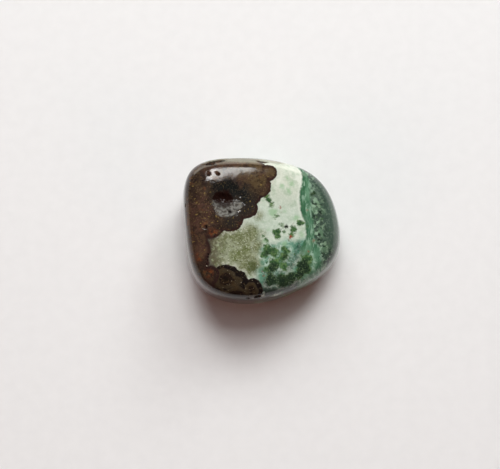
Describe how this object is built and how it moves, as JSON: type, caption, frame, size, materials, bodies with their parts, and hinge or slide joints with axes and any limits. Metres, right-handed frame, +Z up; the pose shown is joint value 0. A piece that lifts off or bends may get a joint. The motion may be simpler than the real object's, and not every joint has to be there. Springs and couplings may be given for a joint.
{
  "type": "sardonyx pebble",
  "caption": "Tumbled and polished chalcedony pebble with a brown end, a pale mossy middle and a dark green end; rests on a small flat spot.",
  "frame": {"origin": "middle of the bounding box at its bottom, on the surface that the pebble rests on", "axes": "+X along the pebble's longest way, from the brown end to the green end; +Z up, along its shortest way"},
  "size_m": [0.0148, 0.0136, 0.0077],
  "materials": {
    "polished_chalcedony": "tumble-polished chalcedony: brown, cream, sea green and dark moss green"
  },
  "bodies": {
    "root": {"pebble": "polished_chalcedony"}
  },
  "joints": []
}
